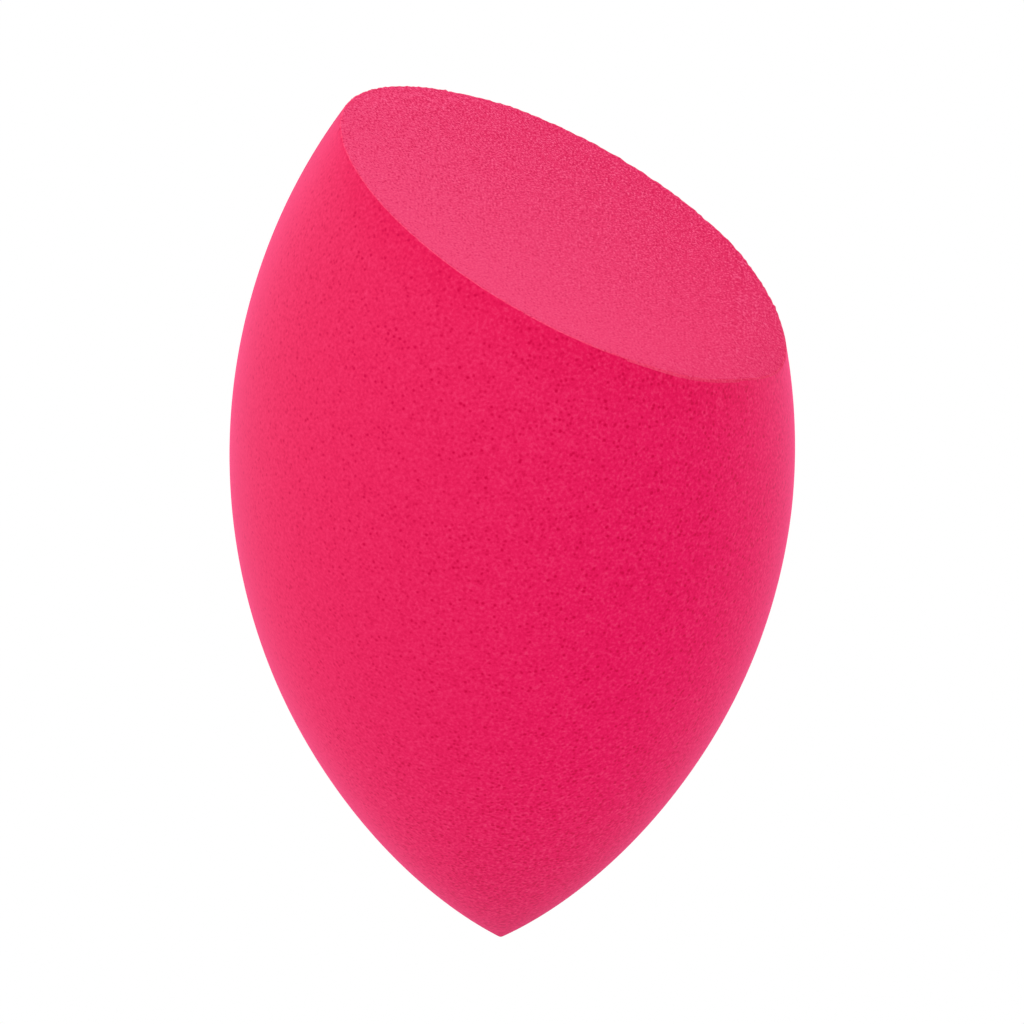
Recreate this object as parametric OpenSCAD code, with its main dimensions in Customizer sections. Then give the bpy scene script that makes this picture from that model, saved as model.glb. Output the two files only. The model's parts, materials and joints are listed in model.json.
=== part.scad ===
// Slanted makeup sponge: one spindle of soft foam, pointed at one end and sliced flat at the other
// It stands on its slanted face with its tip up, which leans the spindle over towards +X
// The origin is where the spindle's own axis meets the slanted face, and +Z is square to that face

/* [Foam spindle] */
// Diameter at the waist, the widest place
waist_d = 40; // [28:0.5:52]
// Length along the axis from the waist to the pointed tip
tip_length = 39.6; // [30:0.1:52]
// Length along the axis from the waist to where the other end would close, if it weren't sliced off
crown_length = 38.4; // [30:0.1:52]

/* [Slanted face] */
// Length along the axis from the pointed tip to the slanted face
sliced_length = 58.7; // [50:0.1:66]
// Lean of the face, in degrees, from square to the axis
face_lean = 26.3; // [0:0.1:34]

/* [Finish] */
// Colour of the dyed foam
foam_colour = "#E5245B";

/* [Hidden] */

waist_r = waist_d / 2;
// How far each working shape runs past the foam that it bounds
overrun = waist_r / 4;
// Longer than anything that the slice has to clear away
slice_reach = tip_length + crown_length;
// Steps in a full turn of the preview's curves
curve_steps = 240;

// Radius of the arc that leaves the waist parallel to the axis and meets the axis this far along it
function side_arc_r(length) = (length * length + waist_r * waist_r) / (2 * waist_r);

// Outline from the waist to one point of the spindle: the arc bulges past the straight line from rim to point
module side_outline(length) {
    arc_r = side_arc_r(length);
    intersection() {
        translate([waist_r - arc_r, 0]) circle(r = arc_r, $fn = curve_steps);
        square([waist_r + overrun, length + overrun]);
    }
}

// One half of the spindle, with its round base at the waist and its point up
module pointed_half(length) {
    rotate_extrude($fn = curve_steps) side_outline(length);
}

// The foam before it is sliced, its axis crossing the origin where the face will be
module spindle() {
    translate([0, 0, sliced_length - tip_length]) {
        pointed_half(tip_length);
        mirror([0, 0, 1]) pointed_half(crown_length);
    }
}

// Everything below the slanted face
module sliced_away() {
    translate([-slice_reach, -slice_reach, -slice_reach])
        cube([2 * slice_reach, 2 * slice_reach, slice_reach]);
}

// The spindle leans until its slanted face is level, and the slice takes all that is below
module foam_body() {
    color(foam_colour) difference() {
        rotate([0, face_lean, 0]) spindle();
        sliced_away();
    }
}

foam_body();
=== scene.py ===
# %% [markdown]
# # A slanted makeup sponge, cell by cell
#
# The real sponge is one block of fine, dyed foam. It is turned or moulded as a spindle with a pointed
# tip, and one straight slice takes its other end off at a slant. It stands on that slice with its tip up.
# Nothing is sewn, glued or fitted to it, so the whole lesson is about one shape and three finishes: the
# skin of the spindle, the fresh slice and the narrow rim between them.
#
# The solid model comes first, because it fixes the sizes. The foam made here takes the place of its plain
# solid.

# %% Load the solid model
import json
import math

import bpy
import numpy as np
from mathutils import Matrix, Vector

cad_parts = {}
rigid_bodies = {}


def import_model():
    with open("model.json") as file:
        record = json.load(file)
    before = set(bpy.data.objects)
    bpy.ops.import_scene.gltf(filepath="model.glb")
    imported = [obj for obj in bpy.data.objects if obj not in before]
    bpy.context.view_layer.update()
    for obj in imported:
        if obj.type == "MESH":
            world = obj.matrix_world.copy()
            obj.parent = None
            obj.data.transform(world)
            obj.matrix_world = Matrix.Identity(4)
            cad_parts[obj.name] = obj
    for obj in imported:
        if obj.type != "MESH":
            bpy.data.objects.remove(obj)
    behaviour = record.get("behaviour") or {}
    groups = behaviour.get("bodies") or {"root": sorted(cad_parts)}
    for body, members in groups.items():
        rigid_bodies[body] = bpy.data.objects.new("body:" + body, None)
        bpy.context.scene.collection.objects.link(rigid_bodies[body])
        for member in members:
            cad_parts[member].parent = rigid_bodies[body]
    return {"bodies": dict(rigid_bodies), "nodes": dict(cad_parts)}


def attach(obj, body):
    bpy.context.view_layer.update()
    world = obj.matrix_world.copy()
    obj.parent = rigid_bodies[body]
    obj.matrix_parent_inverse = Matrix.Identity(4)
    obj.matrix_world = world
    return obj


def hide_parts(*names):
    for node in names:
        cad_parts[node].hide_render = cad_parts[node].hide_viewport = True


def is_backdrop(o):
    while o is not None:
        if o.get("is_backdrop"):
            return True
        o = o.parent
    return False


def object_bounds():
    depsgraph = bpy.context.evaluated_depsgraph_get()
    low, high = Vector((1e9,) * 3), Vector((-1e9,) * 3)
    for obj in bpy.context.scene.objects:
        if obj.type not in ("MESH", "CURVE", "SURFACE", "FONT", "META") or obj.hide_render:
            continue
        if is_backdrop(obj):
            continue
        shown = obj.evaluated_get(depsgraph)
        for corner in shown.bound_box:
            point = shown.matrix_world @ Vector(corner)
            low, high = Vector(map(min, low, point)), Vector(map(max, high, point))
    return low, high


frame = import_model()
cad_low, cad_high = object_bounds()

MM = 0.001
body_name = next(iter(frame["bodies"]))
print("body:", body_name, "nodes:", list(frame["nodes"]))
for corner_name, corner in (("low", cad_low), ("high", cad_high)):
    print(corner_name, "corner of the solid model:", [round(c / MM, 2) for c in corner], "mm")

# %% [markdown]
# ## The sizes
#
# A few lengths drive the sponge, and the solid model holds most of them. Its box gives the waist, because
# the waist is the widest place across the lean, and the height of the tip. The height and the lean
# together give the length along the spindle's own axis. The lean and the place of the waist are set again
# here, since a box can't tell them. The solid model rounds that length to a tenth of a millimetre, and
# the photograph asks for a hair more.

# %% The driving sizes
face_lean = math.radians(26.3)
waist_r = (cad_high.y - cad_low.y) / 2
rounded_off = 0.11 * MM
spindle_length = cad_high.z / math.cos(face_lean) + rounded_off
tip_length = 39.6 * MM
crown_length = 38.4 * MM
waist_height = spindle_length - tip_length
print("waist radius", round(waist_r / MM, 2), "mm, tip to slice", round(spindle_length / MM, 2), "mm")

# %% [markdown]
# ## The camera
#
# The photograph shows the slice and the side of the spindle at once, with the tip pointing down. On a
# sponge that stands on its slice, that is a view from below, with the camera rolled over. So the camera
# is placed from the spindle's own axes: to the right of the picture lies the low side of the slice, and
# up in the picture lies the slice. A long lens keeps the outline from swelling towards the middle, as in
# the photograph.

# %% The spindle's own axes
axis = Vector((math.sin(face_lean), 0, math.cos(face_lean)))
low_side = Vector((math.cos(face_lean), 0, -math.sin(face_lean)))
front_side = Vector((0, 1, 0))
tip_point = axis * spindle_length
print("tip at", [round(c / MM, 2) for c in tip_point], "mm")

# %% Place the camera
look_down = math.radians(27.571)
roll = math.radians(1.417)
camera_range = 710.8 * MM
sensor_width = 36.0
picture_width = 72.698 * MM
aim_above_tip = 31.986 * MM
aim_right = 0.129 * MM
aim_up = 2.482 * MM

back = front_side * math.cos(look_down) - axis * math.sin(look_down)
up_unrolled = -front_side * math.sin(look_down) - axis * math.cos(look_down)
right = low_side * math.cos(roll) + up_unrolled * math.sin(roll)
up = up_unrolled * math.cos(roll) - low_side * math.sin(roll)
aim = tip_point - axis * aim_above_tip + right * aim_right + up * aim_up

camera_data = bpy.data.cameras.new("camera")
camera_data.sensor_width = sensor_width
camera_data.lens = sensor_width * camera_range / picture_width
camera = bpy.data.objects.new("camera", camera_data)
camera.matrix_world = Matrix((right, up, back)).transposed().to_4x4()
camera.location = aim + back * camera_range
bpy.context.scene.collection.objects.link(camera)
bpy.context.scene.camera = camera
print("camera at", [round(c, 3) for c in camera.location], "lens", round(camera_data.lens, 1), "mm")

# %% [markdown]
# ## The outline
#
# Seen from the side, the spindle is three arcs that run smoothly into each other. A crown arc rises from
# the slice to the waist, a belly arc leaves the waist, and a slightly flatter nose arc ends in the point.
# Each arc touches the next with the same slope, so no crease shows. A point on an arc follows from the
# circle's own equation.

# %% The three arcs
belly_arc_r = 47.13 * MM
nose_length = 19.3 * MM

crown_arc_r = (crown_length ** 2 + waist_r ** 2) / (2 * waist_r)


def arc_radius(distance, centre_r, arc_r):
    """How far an arc lies from the axis, at a distance along the axis from its centre."""
    return centre_r + np.sqrt(np.maximum(arc_r ** 2 - distance ** 2, 0))


nose_start = Vector((
    float(arc_radius(tip_length - nose_length, waist_r - belly_arc_r, belly_arc_r)),
    spindle_length - nose_length,
))
belly_centre = Vector((waist_r - belly_arc_r, waist_height))
inward = (belly_centre - nose_start).normalized()
to_tip = Vector((0, spindle_length)) - nose_start
nose_arc_r = to_tip.length_squared / (2 * inward.dot(to_tip))
nose_centre = nose_start + inward * nose_arc_r


def outline_radius(height):
    """Radius of the upright spindle at heights above the middle of the slice."""
    height = np.asarray(height, float)
    crown = arc_radius(height - waist_height, waist_r - crown_arc_r, crown_arc_r)
    belly = arc_radius(height - waist_height, waist_r - belly_arc_r, belly_arc_r)
    nose = arc_radius(height - nose_centre.y, nose_centre.x, nose_arc_r)
    upper = np.where(height > nose_start.y, nose, belly)
    return np.where(height < waist_height, crown, upper).clip(0)


for arc_name, arc_r in (("crown", crown_arc_r), ("belly", belly_arc_r), ("nose", nose_arc_r)):
    print(arc_name, "arc: radius", round(arc_r / MM, 1), "mm")

# %% [markdown]
# ## From outline to spindle
#
# A turned shape is made by spinning its outline. The outline is drawn from the tip down: one
# vertex at the tip, extruded again and again along the arcs and then in along a square-cut end. A spin
# about the axis makes the skin, and merging the doubles closes it at the tip and in the middle of the
# end.

# %% Helpers for edit mode
def edit(piece):
    """Opens one object alone in edit mode with nothing selected."""
    bpy.ops.object.select_all(action="DESELECT")
    bpy.context.view_layer.objects.active = piece
    piece.select_set(True)
    bpy.ops.object.mode_set(mode="EDIT")
    bpy.ops.mesh.select_all(action="DESELECT")


def leave_edit():
    bpy.ops.object.mode_set(mode="OBJECT")


def coordinates(piece):
    """All vertices of a mesh, as rows of x, y and z."""
    places = np.zeros(len(piece.data.vertices) * 3)
    piece.data.vertices.foreach_get("co", places)
    return places.reshape(-1, 3)


def move_vertices(piece, places):
    piece.data.vertices.foreach_set("co", places.ravel())
    piece.data.update()


# %% Draw the outline
side_rows = 96
end_rows = 20
measured_steps = 4000


def lengths_along(heights):
    """How far each height lies from the first one, measured along the outline."""
    steps = np.hypot(np.diff(heights), np.diff(outline_radius(heights)))
    return np.concatenate([[0], np.cumsum(steps)])


fine_heights = np.linspace(spindle_length, 0, measured_steps + 1)
fine_lengths = lengths_along(fine_heights)
row_lengths = np.linspace(0, fine_lengths[-1], side_rows + 1)
row_heights = np.interp(row_lengths, fine_lengths, fine_heights)
outline = [Vector((float(outline_radius(h)), 0, h)) for h in row_heights]
end_radius = outline[-1].x
outline += [Vector((end_radius * (1 - k / end_rows), 0, 0)) for k in range(1, end_rows + 1)]

bpy.ops.object.select_all(action="DESELECT")
bpy.ops.mesh.primitive_plane_add(size=MM, location=(0, 0, spindle_length))
sponge = bpy.context.object
sponge.name = sponge.data.name = "sponge_body"
bpy.ops.object.transform_apply(location=True, rotation=True, scale=True)
bpy.ops.object.mode_set(mode="EDIT")
bpy.ops.mesh.select_all(action="SELECT")
bpy.ops.mesh.merge(type="CENTER")
for here, there in zip(outline, outline[1:]):
    bpy.ops.mesh.extrude_region_move(TRANSFORM_OT_translate={"value": there - here})
leave_edit()
print("outline:", len(sponge.data.vertices), "points")

# %% Spin it
turn_steps = 192
merge_gap = 0.02 * MM
edit(sponge)
bpy.ops.mesh.select_all(action="SELECT")
bpy.ops.mesh.spin(steps=turn_steps, angle=math.tau, center=(0, 0, 0), axis=(0, 0, 1))
bpy.ops.mesh.select_all(action="SELECT")
bpy.ops.mesh.remove_doubles(threshold=merge_gap)
bpy.ops.mesh.normals_make_consistent(inside=False)
leave_edit()
print("spindle:", len(sponge.data.vertices), "vertices,", len(sponge.data.polygons), "faces")

# %% [markdown]
# ## The slanted slice
#
# A straight cut through the spun mesh would cross its rows at a slant and leave slivers all along the
# rim. So the rows are led to the cut instead. Each vertex keeps its share of the way from the tip to the
# rim, and the way itself is made longer or shorter until it ends on the slice. The rows of the square-cut
# end follow the rim in straight lines.
#
# Soft foam gives under the blade, so the slice isn't flat to its last millimetre. At its low end, where
# the blade leaves, it curls up by not quite a millimetre, which makes that end of the rim look softer
# than the rest. The skin next to it is drawn in a little as well, and two corners of the slice sag by a
# quarter of a millimetre.

# %% Find the rim
curl_start = 14.6 * MM
curl_length = 4.3 * MM
curl_rise = 0.9 * MM
corner_width = 3.1 * MM
soft_corners = (
    # direction, distance of its rim, sag
    (math.radians(35), 18.6 * MM, 0.24 * MM),
    (math.radians(-137), 13.6 * MM, 0.22 * MM),
)
halvings = 40

places = coordinates(sponge)
turn = np.arctan2(places[:, 1], places[:, 0])


def slice_height(x, y):
    """Height of the slice in the upright spindle, where x runs towards its low side."""
    curled = np.maximum(x - curl_start, 0) / curl_length
    height = math.tan(face_lean) * x + curl_rise * curled ** 2
    for towards, rim_reach, sag in soft_corners:
        reach = x * math.cos(towards) + y * math.sin(towards)
        nearness = np.clip(1 - (rim_reach - reach) / corner_width, 0, 1)
        height = height + sag * nearness ** 2 * (3 - 2 * nearness)
    return height


low = np.full(len(turn), -waist_height)
high = np.full(len(turn), waist_height)
for _ in range(halvings):
    middle = (low + high) / 2
    radius = outline_radius(middle)
    above = middle > slice_height(radius * np.cos(turn), radius * np.sin(turn))
    low, high = np.where(above, low, middle), np.where(above, middle, high)
rim_height = (low + high) / 2
print("rim: from", (rim_height.min() / MM).round(2), "to", (rim_height.max() / MM).round(2), "mm high")

# %% Lead the rows to the rim
drawn_in = 0.14 * MM
drawn_length = 12 * MM
nearly = 0.01 * MM


def foam_radius(height):
    """Radius of the foam at each vertex's height: the outline, drawn in near the low side of the rim."""
    nearness = np.clip(1 - (height - rim_height) / drawn_length, 0, 1)
    return outline_radius(height) - drawn_in * nearness * np.clip(np.cos(turn), 0, 1) ** 2


long_heights = np.linspace(spindle_length, -waist_height, 2 * measured_steps + 1)
long_lengths = lengths_along(long_heights)


def length_to(height):
    """Length of the outline from the tip to a height."""
    return np.interp(-height, -long_heights, long_lengths)


share = length_to(places[:, 2]) / length_to(0)
new_height = np.interp(share * length_to(rim_height), long_lengths, long_heights)
new_radius = foam_radius(new_height)

on_end = places[:, 2] < nearly
end_share = np.hypot(places[:, 0], places[:, 1]) / end_radius
new_radius = np.where(on_end, foam_radius(rim_height) * end_share, new_radius)
end_height = slice_height(new_radius * np.cos(turn), new_radius * np.sin(turn))
new_height = np.where(on_end, end_height, new_height)
at_tip = places[:, 2] > spindle_length - nearly
new_radius = np.where(at_tip, 0, new_radius)
move_vertices(sponge, np.stack([new_radius * np.cos(turn), new_radius * np.sin(turn), new_height], 1))
print("rows led to the rim:", side_rows, "on the side,", end_rows, "on the slice")

# %% Lean it onto the slice
edit(sponge)
bpy.ops.mesh.select_all(action="SELECT")
bpy.ops.transform.rotate(value=-face_lean, orient_axis="Y", center_override=(0, 0, 0))
leave_edit()
places = coordinates(sponge)
print("leaning: tip at", places[places[:, 2].argmax()].round(4), "lowest", places[:, 2].min().round(6))

# %% [markdown]
# ## The rim and the tip
#
# A blade leaves a crisp rim on foam, but never a knife edge, because the cut cells round over. So the rim
# gets a narrow bevel, which also holds the edge when the mesh is smoothed. At the low end the rim is
# rounder, so the bevel is a modifier that takes its width from a weight on each edge of the rim. The tip
# is blunted with a plain bevel: a real tip is a few foam cells wide.

# %% Round the rim
rim_round = 0.09 * MM
low_end_round = 0.15 * MM
low_end = Vector((0.82, 0.57, 0))
low_end_start = 14 * MM
low_end_full = 19 * MM
sharp_edge = math.radians(15)

edit(sponge)
bpy.ops.mesh.select_mode(type="EDGE")
bpy.ops.mesh.edges_select_sharp(sharpness=sharp_edge)
leave_edit()
rim_edges = [e for e in sponge.data.edges if e.select]
weights = sponge.data.attributes.new("bevel_weight_edge", "FLOAT", "EDGE")
for rim_edge in rim_edges:
    reach = sum(sponge.data.vertices[v].co.dot(low_end) for v in rim_edge.vertices) / 2
    width = np.interp(reach, (low_end_start, low_end_full), (rim_round, low_end_round))
    weights.data[rim_edge.index].value = width / low_end_round
bevel = sponge.modifiers.new("round rim", "BEVEL")
bevel.limit_method = "WEIGHT"
bevel.width = low_end_round
bevel.segments = 2
bpy.ops.object.modifier_apply(modifier=bevel.name)
print("rim:", len(rim_edges), "edges; after the bevel:", len(sponge.data.vertices), "vertices")

# %% Blunt the tip
tip_round = 0.08 * MM
places = coordinates(sponge)
edit(sponge)
bpy.ops.mesh.select_mode(type="VERT")
leave_edit()
sponge.data.vertices[int(places[:, 2].argmax())].select = True
bpy.ops.object.mode_set(mode="EDIT")
bpy.ops.mesh.bevel(offset=tip_round, segments=1, affect="VERTICES")
leave_edit()
print("after the tip:", len(sponge.data.vertices), "vertices")

# %% [markdown]
# ## Smooth foam
#
# A subdivision surface turns the facets into one even surface. Its modifier is applied, because the fine
# unevenness of the foam that comes next needs real vertices to move.

# %% Subdivide
smooth = sponge.modifiers.new("smooth", "SUBSURF")
smooth.levels = smooth.render_levels = 1
bpy.ops.object.select_all(action="DESELECT")
bpy.context.view_layer.objects.active = sponge
sponge.select_set(True)
bpy.ops.object.modifier_apply(modifier=smooth.name)
bpy.ops.object.shade_smooth()
places = coordinates(sponge)
print("smoothed:", len(sponge.data.polygons), "faces")
print("foam from", (places.min(0) / MM).round(2), "to", (places.max(0) / MM).round(2), "mm")

# %% [markdown]
# ## A rim of cells
#
# Seen against white, the rim of the slice isn't a clean line: it is a row of cut cells, some standing out
# and some missing. A displacement with a cloud texture gives that, held to the rim by a vertex group. It
# moves the rim by a few hundredths of a millimetre, which is as much as the photograph shows.

# %% Roughen the rim
rounded_edge = math.radians(5)
rim_top = 1 * MM
cut_cell = 0.3 * MM
most_roughness = 0.2 * MM

edit(sponge)
bpy.ops.mesh.select_mode(type="EDGE")
bpy.ops.mesh.edges_select_sharp(sharpness=rounded_edge)
leave_edit()
places = coordinates(sponge)
rim_vertices = [v.index for v in sponge.data.vertices if v.select and v.co.z < rim_top]
rim_group = sponge.vertex_groups.new(name="rim")
rim_group.add(rim_vertices, 1.0, "REPLACE")
clouds = bpy.data.textures.new("cut cells", "CLOUDS")
clouds.noise_scale = cut_cell
rough = sponge.modifiers.new("rough rim", "DISPLACE")
rough.texture = clouds
rough.texture_coords = "LOCAL"
rough.strength = most_roughness
rough.vertex_group = rim_group.name
bpy.ops.object.modifier_apply(modifier=rough.name)
moved = np.linalg.norm(coordinates(sponge) - places, axis=1)[rim_vertices]
print("rim:", len(rim_vertices), "vertices moved by", (moved.mean() / MM).round(3), "mm on average")
print("at most", (moved.max() / MM).round(3), "mm")

# %% [markdown]
# ## Foam under a lens
#
# The foam is a froth of cells, each a fraction of a millimetre across. Where a cell is open at the
# surface it is a dark pin-prick; between the pricks the dye mottles a little, and a few broken cell walls
# catch the light. A Voronoi texture scatters points through space and tells how far the nearest one is,
# so it gives the pricks. Noise gives the mottling. All finishes use the same froth with their own values,
# so it is a node group. A second, small group tells how far a place lies along a direction, for
# everything that changes from one side of the sponge to the other.

# %% Helpers for node trees
def colour(hex_code):
    """Turns a written colour, such as E5245B, into the linear numbers that a shader wants."""
    parts = [int(hex_code[i:i + 2], 16) / 255 for i in (0, 2, 4)]
    return [p / 12.92 if p <= 0.04045 else ((p + 0.055) / 1.055) ** 2.4 for p in parts] + [1]


def add_node(tree, kind, place, inputs=(), **settings):
    """Adds a node at a place in columns and rows, sets its properties, and sets or links its inputs."""
    node = tree.nodes.new("ShaderNode" + kind)
    node.location = (place[0] * 200, -place[1] * 180)
    for name, value in settings.items():
        setattr(node, name, value)
    for name, value in dict(inputs).items():
        if isinstance(value, bpy.types.NodeSocket):
            tree.links.new(value, node.inputs[name])
        else:
            node.inputs[name].default_value = value
    return node


def mix_colours(tree, where, share, first, second):
    """Mixes two colours. A Mix node's factor is input 0, its plain values 2 and 3, its colours 6 and 7."""
    return add_node(tree, "Mix", where, {0: share, 6: first, 7: second}, data_type="RGBA").outputs[2]


def empty_group(name, inputs, outputs):
    """A new node group with its named sockets, and what it is given."""
    group = bpy.data.node_groups.new(name, "ShaderNodeTree")
    for in_out, sockets in (("INPUT", inputs), ("OUTPUT", outputs)):
        for socket_name, kind in sockets.items():
            group.interface.new_socket(socket_name, in_out=in_out, socket_type="NodeSocket" + kind)
    return group, group.nodes.new("NodeGroupInput").outputs


# %% The froth group
broad_scale = 0.3
noise_low = 0.3
noise_high = 0.7
speck_scale = 0.5
speck_reach = 0.14
speck_luck = 0.85


def froth_group():
    """Dark open cells, mottled dye and a few bright cell walls, as a colour and a height."""
    group, given = empty_group("foam froth", {
        "Pore Colour": "Color", "Foam Colour": "Color", "Wall Colour": "Color", "Cells": "Float",
        "Pore Size": "Float", "Pore Share": "Float", "Mottle Scale": "Float", "Mottle Share": "Float",
        "Broad Share": "Float", "Speck Share": "Float", "Grain": "Float",
    }, {"Colour": "Color", "Height": "Float"})
    place = add_node(group, "TexCoord", (-1, 3)).outputs["Object"]

    def math_node(where, operation, first, second, **more):
        return add_node(group, "Math", where, {0: first, 1: second}, operation=operation, **more).outputs[0]

    def nearness(where, distance, reach):
        """1 at the middle of a Voronoi cell, falling to 0 at the reach."""
        return add_node(group, "MapRange", where, {
            "Value": distance, "From Min": 0, "From Max": reach, "To Min": 1, "To Max": 0,
        }, interpolation_type="SMOOTHSTEP").outputs[0]

    cells = add_node(group, "TexVoronoi", (0, 0), {"Vector": place, "Scale": given["Cells"]})
    depth = add_node(group, "SeparateColor", (1, 1), {"Color": cells.outputs["Color"]}).outputs[0]
    open_cell = nearness((1, 0), cells.outputs["Distance"], given["Pore Size"])
    pore = math_node((2, 0), "MULTIPLY", open_cell, depth)
    pore = math_node((3, 0), "MULTIPLY", pore, given["Pore Share"])

    fine = add_node(group, "TexNoise", (1, 2), {
        "Vector": place, "Scale": math_node((0, 2), "MULTIPLY", given["Cells"], given["Mottle Scale"]),
        "Detail": 2, "Roughness": 0.6,
    })
    broad = add_node(group, "TexNoise", (1, 3), {
        "Vector": place, "Scale": math_node((0, 3), "MULTIPLY", given["Cells"], broad_scale),
        "Detail": 2, "Roughness": 0.5,
    })
    both = add_node(group, "Mix", (2, 3), {
        0: given["Broad Share"], 2: fine.outputs["Fac"], 3: broad.outputs["Fac"],
    })
    mottle = add_node(group, "MapRange", (3, 3), {
        "Value": both.outputs[0], "From Min": noise_low, "From Max": noise_high, "To Min": -1, "To Max": 1,
    }, clamp=False)
    mottle = math_node((4, 3), "MULTIPLY", mottle.outputs[0], given["Mottle Share"])

    specks = add_node(group, "TexVoronoi", (1, 4), {
        "Vector": place, "Scale": math_node((0, 4), "MULTIPLY", given["Cells"], speck_scale),
    })
    luck = add_node(group, "SeparateColor", (2, 5), {"Color": specks.outputs["Color"]}).outputs[1]
    lucky = math_node((3, 5), "GREATER_THAN", luck, speck_luck)
    bright_wall = nearness((2, 4), specks.outputs["Distance"], speck_reach)
    speck = math_node((3, 4), "MULTIPLY", bright_wall, lucky)
    speck = math_node((4, 4), "MULTIPLY", speck, given["Speck Share"])

    grain = math_node((5, 1), "SUBTRACT", mottle, pore)
    grain = math_node((6, 1), "MULTIPLY", grain, given["Grain"])
    grain = math_node((7, 1), "ADD", grain, speck)
    dark = math_node((8, 1), "MULTIPLY", grain, -1, use_clamp=True)
    bright = math_node((8, 2), "MULTIPLY", grain, 1, use_clamp=True)
    shaded = mix_colours(group, (9, 1), dark, given["Foam Colour"], given["Pore Colour"])
    lit = mix_colours(group, (10, 1), bright, shaded, given["Wall Colour"])

    leave = group.nodes.new("NodeGroupOutput")
    leave.location = (2300, 0)
    group.links.new(lit, leave.inputs["Colour"])
    group.links.new(grain, leave.inputs["Height"])
    return group


froth = froth_group()
print("froth group:", len(froth.nodes), "nodes")

# %% The side to side group
def side_group():
    """Tells how far a place lies along a direction: 0 at the start and 1 at the end."""
    group, given = empty_group("side to side", {
        "Direction": "Vector", "Start": "Float", "End": "Float",
    }, {"Share": "Float"})
    place = add_node(group, "TexCoord", (0, 1)).outputs["Object"]
    along = add_node(group, "VectorMath", (1, 0), {
        0: place, 1: given["Direction"],
    }, operation="DOT_PRODUCT")
    share = add_node(group, "MapRange", (2, 0), {
        "Value": along.outputs["Value"], "From Min": given["Start"], "From Max": given["End"],
        "To Min": 0, "To Max": 1,
    })
    leave = group.nodes.new("NodeGroupOutput")
    leave.location = (600, 0)
    group.links.new(share.outputs[0], leave.inputs["Share"])
    return group


side_to_side = side_group()
print("side to side group:", len(side_to_side.nodes), "nodes")

# %% [markdown]
# ## Three finishes
#
# The skin of the spindle, the fresh slice and the rim between them are the same foam. Fine foam has no
# gloss: it is matt from the front, and its cell walls catch the light like velvet where it turns away.
# The Principled shader's sheen does exactly that. The slice is finer than the skin, because the blade
# opened its cells, and it is painted a little lighter and whiter: partly the open cells, partly painted
# sheen, since its own sheen is turned down. The rounded rim is painted lighter still and shows as a thin
# line, a painted highlight along the rim.

# %% A foam finish
def foam_finish(name, pore_colour, wall_colour, sheen, froth_values):
    """A matt foam with a velvety sheen, whose foam colour and grain are linked later."""
    finish = bpy.data.materials.new(name)
    finish.use_nodes = True
    tree = finish.node_tree
    shader = tree.nodes["Principled BSDF"]
    shader.inputs["Roughness"].default_value = 0.8
    shader.inputs["Specular IOR Level"].default_value = 0.05
    shader.inputs["Sheen Weight"].default_value = sheen
    shader.inputs["Sheen Roughness"].default_value = 0.42
    shader.inputs["Sheen Tint"].default_value = colour("FF669B")
    group = add_node(tree, "Group", (-4, 0), {
        "Pore Colour": colour(pore_colour), "Wall Colour": colour(wall_colour), **froth_values,
    }, node_tree=froth)
    bump = add_node(tree, "Bump", (-2, 1), {
        "Height": group.outputs["Height"], "Strength": 0.1, "Distance": 0.05 * MM,
    })
    tree.links.new(group.outputs["Colour"], shader.inputs["Base Color"])
    tree.links.new(bump.outputs["Normal"], shader.inputs["Normal"])
    return finish, group


skin, skin_froth = foam_finish("sponge skin", "D40144", "FB4075", 1.0, {
    "Cells": 2600, "Pore Size": 0.5, "Pore Share": 1.6, "Mottle Scale": 1.7, "Mottle Share": 0.6,
    "Broad Share": 0.12, "Speck Share": 0.3,
})
slice_values = {
    "Cells": 4200, "Pore Size": 0.5, "Pore Share": 2.0, "Mottle Scale": 1.5, "Mottle Share": 0.8,
    "Broad Share": 0.1, "Speck Share": 0.8,
}
# The slice is painted lighter and whiter than the skin, partly painted sheen: its own sheen is turned down.
fresh_slice, slice_froth = foam_finish("fresh slice", "CA0044", "F8709D", 0.3, slice_values)
# The rim finish is a painted highlight: a lighter line painted along the rim.
rim_painted_highlight, rim_highlight_froth = foam_finish("cut rim painted highlight", "CA0044", "FF709D", 0.3, slice_values)
finishes = (skin, fresh_slice, rim_painted_highlight)
print("finishes:", [finish.name for finish in finishes])

# %% [markdown]
# ## Not the same all over
#
# Neither the colour nor the grain is the same all over. On the skin the pink is painted lighter and
# whiter towards one side and deeper towards the other, as painted light and sheen, and the pores grow
# coarser from one side to the other, and again towards the tip, where the most foam was turned away. The
# last three millimetres before the slice are painted a deeper pink, as painted shade below the rim. The
# slice and its rim are painted lighter towards one side, as painted light, and grow darker and coarser
# towards the other. A share of the way along a direction mixes two colours or scales the grain, and it is
# measured on the sponge itself, so nothing slides when the sponge is turned.

# %% Helpers for changes along a direction
def share_along(tree, where, direction, start, end):
    """A socket that runs from 0 to 1 between two distances along a direction."""
    return add_node(tree, "Group", where, {
        "Direction": direction.normalized(), "Start": start, "End": end,
    }, node_tree=side_to_side).outputs["Share"]


def spread(tree, where, share, low, high):
    """Turns a share of 0 to 1 into a value from low to high."""
    return add_node(tree, "MapRange", where, {"Value": share, "To Min": low, "To Max": high}).outputs[0]


# %% Grade the skin, with painted light and painted shade
painted_light_side = -15 * MM
painted_shade_side = 27 * MM
half_width = 18 * MM
nose_start_height = 30 * MM
nose_end_height = 60 * MM
painted_shade_top = 3.4 * MM
painted_shade_end = 0.1 * MM
darkest_painted_shade = 0.42

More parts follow.
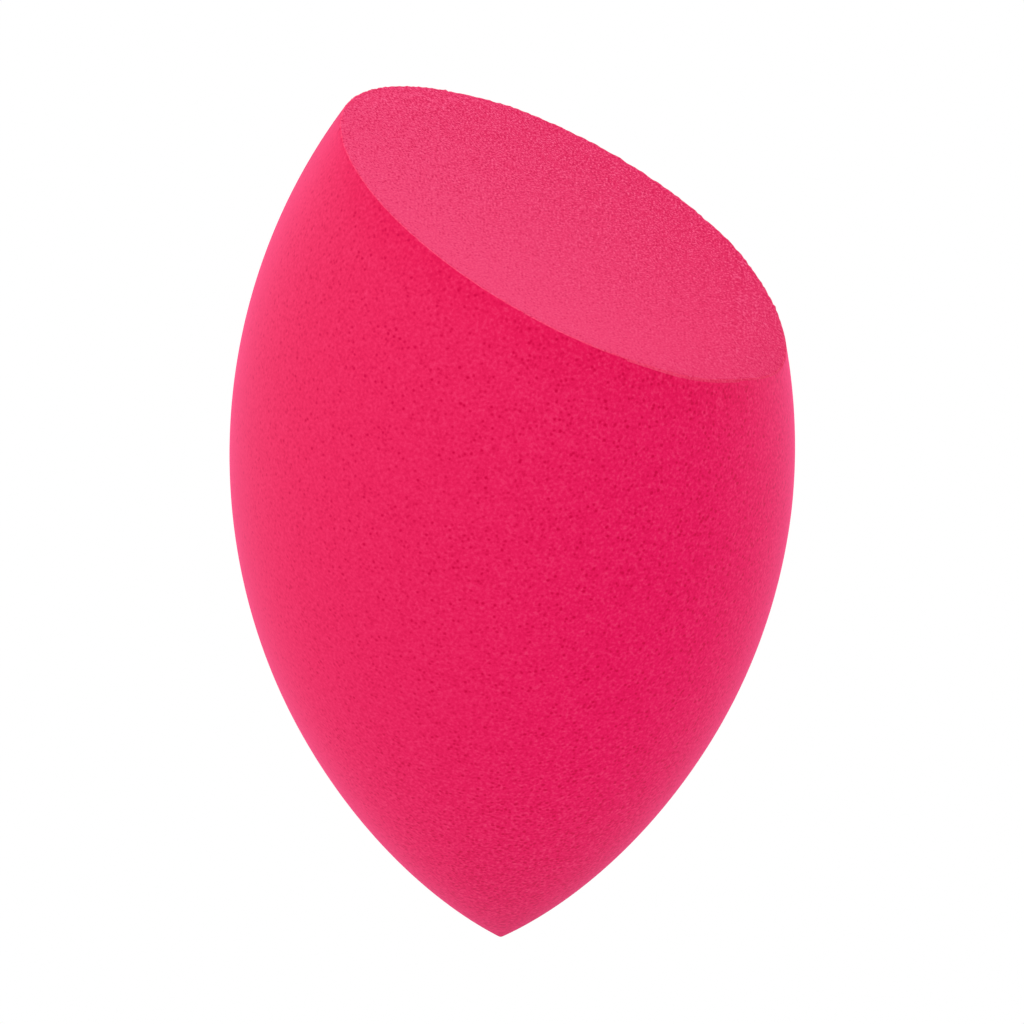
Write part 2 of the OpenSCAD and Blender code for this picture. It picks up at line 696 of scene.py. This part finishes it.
tree = skin.node_tree
# Painted light and sheen: the skin is painted lighter and whiter towards one side and a deeper pink towards
# the other.
towards_painted_shade = low_side * 0.95 + front_side * 0.15 + axis * 0.29
painted_light_aslant = share_along(tree, (-9, 0), towards_painted_shade, painted_light_side, painted_shade_side)
across = share_along(tree, (-9, 1), low_side - axis * 0.02, -half_width, half_width)
near_tip = share_along(tree, (-9, 2), axis, nose_start_height, nose_end_height)
# Painted shade: the skin is painted a deeper, darker pink over the last three millimetres above the slice.
painted_shade_share = share_along(tree, (-9, 3), Vector((0, 0, 1)), painted_shade_top, painted_shade_end)
foam_colour_with_painted_light = mix_colours(tree, (-7, 0), painted_light_aslant, colour("ED2B5D"), colour("F1035D"))
painted_shade_amount = spread(tree, (-7, 2), painted_shade_share, 0, darkest_painted_shade)
foam_colour_with_painted_light = mix_colours(tree, (-6, 0), painted_shade_amount, foam_colour_with_painted_light, colour("EA004E"))
side_grain = spread(tree, (-8, 1), across, 0.54, 1.1)
tip_grain = spread(tree, (-8, 2), near_tip, 1.0, 2.5)
grain = add_node(tree, "Math", (-6, 1), {0: side_grain, 1: tip_grain}, operation="MULTIPLY")
tree.links.new(foam_colour_with_painted_light, skin_froth.inputs["Foam Colour"])
tree.links.new(grain.outputs[0], skin_froth.inputs["Grain"])
print("the skin is graded from", round(painted_light_side / MM), "to", round(painted_shade_side / MM), "mm")

# %% Grade the slice and its rim, with painted light and a painted highlight
half_slice = 13 * MM
fine_grain = 0.4


def grade_cut(finish, group, painted_light_aslant, colours, coarse_grain):
    """Runs the foam colour between two colours as painted light, and the grain from fine to coarse across
    the slice.
    """
    tree = finish.node_tree
    along = share_along(tree, (-9, 0), *painted_light_aslant)
    across = share_along(tree, (-9, 1), Vector((0, -1, 0)), -half_slice, half_slice)
    foam_colour_with_painted_light = mix_colours(tree, (-7, 0), along, *[colour(code) for code in colours])
    tree.links.new(foam_colour_with_painted_light, group.inputs["Foam Colour"])
    tree.links.new(spread(tree, (-7, 1), across, fine_grain, coarse_grain), group.inputs["Grain"])


# Painted light: the slice is painted lighter towards one side and darker towards the other.
painted_light_slice_run = (Vector((0.55, -0.84, 0)), -half_slice, 17 * MM)
# Painted highlight: the rim is painted lighter than the slice, and darker towards its low end.
painted_highlight_rim_run = (Vector((1, 0, 0)), 3 * MM, 19 * MM)
grade_cut(fresh_slice, slice_froth, painted_light_slice_run, ("EA3F6F", "DF1E59"), 1.24)
grade_cut(rim_painted_highlight, rim_highlight_froth, painted_highlight_rim_run, ("FC4672", "E82E5C"), 0.9)
print("the slice and its rim are graded too")

# %% [markdown]
# ## A finish for each face
#
# The three finishes are one mesh, so each face says which one it wears. A face of the slice looks almost
# straight down, and a face of the rim lies wholly between vertices of the rim. Every other face is skin.
# Then the mesh rides on the body and stands in for the plain solid.

# %% Give each face its finish
slice_tilt = math.radians(32)
rim_tilt = math.radians(70)
for finish in finishes:
    sponge.data.materials.append(finish)
normals = np.zeros(len(sponge.data.polygons) * 3)
sponge.data.polygons.foreach_get("normal", normals)
downward = -normals.reshape(-1, 3)[:, 2]
on_slice = downward > math.cos(slice_tilt)
rim_places = set(rim_vertices)
on_rim = np.array([rim_places.issuperset(face.vertices) for face in sponge.data.polygons])
on_rim &= downward > math.cos(rim_tilt)
# The faces of the rim wear the painted highlight.
choice = np.where(
    on_rim, finishes.index(rim_painted_highlight),
    np.where(on_slice, finishes.index(fresh_slice), finishes.index(skin)),
)
sponge.data.polygons.foreach_set("material_index", choice.astype(np.int32))
print("faces on the slice:", int(on_slice.sum()), "on the rim:", int(on_rim.sum()))

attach(sponge, body_name)
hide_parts("foam_body")
print(sponge.name, "rides on", body_name, "in place of foam_body")

# %% [markdown]
# ## Floor
#
# The floor only has to carry the shadow. The camera of the photograph looks from below it, so it is
# see-through from its underside. It lies a hair below the foam, so the two never fight for the same
# place.

# %% The floor
floor_gap = 0.1 * MM
floor_width = 3.0
floor_grey = 0.8
floor_lift = 0.44

bpy.ops.object.select_all(action="DESELECT")
bpy.ops.mesh.primitive_plane_add(size=floor_width, location=(0, 0, -floor_gap))
floor = bpy.context.object
floor.name = floor.data.name = "floor"
bpy.ops.object.transform_apply(location=True, rotation=True, scale=True)
for ray_kind in ("diffuse", "glossy", "transmission", "shadow"):
    setattr(floor, "visible_" + ray_kind, False)
floor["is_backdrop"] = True

floor_finish = bpy.data.materials.new("white floor")
floor_finish.use_nodes = True
tree = floor_finish.node_tree
tree.nodes.remove(tree.nodes["Principled BSDF"])
matt = add_node(tree, "BsdfDiffuse", (-3, 0), {"Color": (floor_grey, floor_grey, floor_grey, 1)})
lift = add_node(tree, "Emission", (-3, 1), {"Color": (1, 1, 1, 1), "Strength": floor_lift})
lit = add_node(tree, "AddShader", (-2, 0), {0: matt.outputs[0], 1: lift.outputs[0]})
clear = add_node(tree, "BsdfTransparent", (-2, 1))
under = add_node(tree, "NewGeometry", (-3, -1))
sides = add_node(tree, "MixShader", (-1, 0), {
    0: under.outputs["Backfacing"], 1: lit.outputs[0], 2: clear.outputs[0],
})
tree.links.new(sides.outputs[0], tree.nodes["Material Output"].inputs["Surface"])
floor.data.materials.append(floor_finish)
print("floor", round(floor_gap / MM, 2), "mm below the foam")

# %% [markdown]
# ## Light
#
# The photograph was lit by broad, soft lamps with white all round. The world gives the even part, and
# lamps as broad as a big soft box give the rest: one from the front for the skin, three for the slice,
# and three from behind that brighten the edges. Directions are easiest to think of in the picture: right,
# up and towards the camera. The sponge hangs with its tip down in that picture, so most of these lamps
# shine from below on the standing sponge.

# %% The world
room_light = 0.4
world = bpy.data.worlds.new("white room")
bpy.context.scene.world = world
world.use_nodes = True
tree = world.node_tree
room = tree.nodes["Background"]
room.inputs["Color"].default_value = (1, 1, 1, 1)
room.inputs["Strength"].default_value = room_light
seen = add_node(tree, "Background", (-1, 2), {"Color": (1, 1, 1, 1), "Strength": 1.0})
rays = add_node(tree, "LightPath", (-3, -1))
seen_or_gloss = add_node(tree, "Math", (-2, 0), {
    0: rays.outputs["Is Camera Ray"], 1: rays.outputs["Is Glossy Ray"],
}, operation="MAXIMUM")
seen_at_all = add_node(tree, "Math", (-1, 0), {
    0: seen_or_gloss.outputs[0], 1: rays.outputs["Is Transmission Ray"],
}, operation="MAXIMUM")
mixed = add_node(tree, "MixShader", (1, 0), {
    0: seen_at_all.outputs[0], 1: room.outputs[0], 2: seen.outputs[0],
})
tree.links.new(mixed.outputs[0], tree.nodes["World Output"].inputs["Surface"])
print("room light", room_light, "and white where the camera sees it")

# %% The lamps
lamp_spread = math.radians(50)
lamps = {
    "front lamp": ((0.0, -0.64, 0.77), 0.524),
    "slice lamp": ((0.0, 0.94, 0.34), 0.312),
    "slice left lamp": ((-0.66, 0.66, 0.34), 0.210),
    "slice right lamp": ((0.70, 0.70, -0.09), 0.169),
    "top edge lamp": ((0.0, 0.87, -0.50), 0.258),
    "right edge lamp": ((0.87, 0.0, -0.50), 0.232),
    "left edge lamp": ((-0.87, 0.0, -0.50), 0.335),
}
for name, (towards, share) in lamps.items():
    lamp_data = bpy.data.lights.new(name, "SUN")
    lamp_data.energy = math.pi * share
    lamp_data.angle = lamp_spread
    lamp = bpy.data.objects.new(name, lamp_data)
    direction = right * towards[0] + up * towards[1] + back * towards[2]
    lamp.rotation_euler = direction.to_track_quat("Z", "Y").to_euler()
    bpy.context.scene.collection.objects.link(lamp)
    print(name, "shines from", [round(c, 2) for c in direction.normalized()])

# %% [markdown]
# ## The last look at the sizes
#
# The foam has to fill the same space as the solid model that it stands in for. Both boxes are measured in
# the same way and printed, the solid model's at the start and the foam's here, so that a slip of even a
# tenth of a millimetre would show.

# %% Print the sizes and finish
bpy.context.scene.view_settings.view_transform = "Standard"
own_low, own_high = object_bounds()
for corner_name, corner in (("low", own_low), ("high", own_high)):
    print(corner_name, "corner of the foam:", [round(c / MM, 2) for c in corner], "mm")
